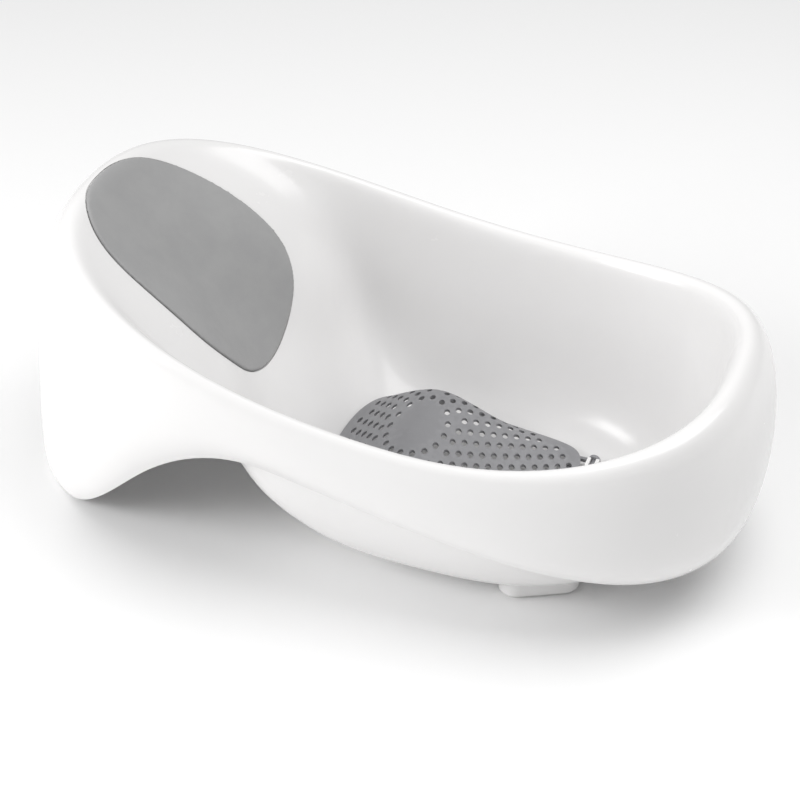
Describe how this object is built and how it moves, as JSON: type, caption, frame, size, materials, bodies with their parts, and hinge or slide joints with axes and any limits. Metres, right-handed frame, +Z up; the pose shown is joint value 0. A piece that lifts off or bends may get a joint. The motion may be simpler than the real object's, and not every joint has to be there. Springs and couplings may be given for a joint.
{
  "type": "baby bathtub",
  "caption": "One-piece white baby bathtub with a raised reclined head end on an arched leg, a dished foam backrest pad, a perforated tilt-up bump and a drain plug.",
  "frame": {"origin": "on the floor under the middle of the tub's length and width", "axes": "+X along the tub from the head end to the foot end, +Y across it, +Z up"},
  "size_m": [0.7418, 0.411, 0.3067],
  "materials": {
    "white_shell": "satin moulded polypropylene",
    "adhesive_film": "thin film",
    "grey_foam": "soft matte foam skin",
    "grey_insert": "matte moulded",
    "grey_pin": "matte moulded",
    "grey_plug": "soft matte",
    "white_grip": "soft matte"
  },
  "bodies": {
    "tub": {"tub_shell": "white_shell", "pad_film": "adhesive_film", "backrest_pad": "grey_foam", "foot_pad_left": "white_grip", "foot_pad_right": "white_grip"},
    "bump_pins": {"hinge_pin_left": "grey_pin", "hinge_pin_right": "grey_pin"},
    "bump": {"bump_insert": "grey_insert"},
    "plug": {"drain_plug": "grey_plug"}
  },
  "joints": [
    {"name": "bump_lift", "type": "slide", "parent": "tub", "child": "bump_pins", "axis": [0, 0, 1], "range_m": [0, 0.3]},
    {"name": "bump_tilt", "type": "hinge", "parent": "bump_pins", "child": "bump", "pos_m": [0.188, 0, 0.023], "axis": [0, 1, 0], "range_deg": [0, 80]},
    {"name": "plug_pull", "type": "slide", "parent": "tub", "child": "plug", "axis": [0, 0, 1], "range_m": [0, 0.014]}
  ]
}
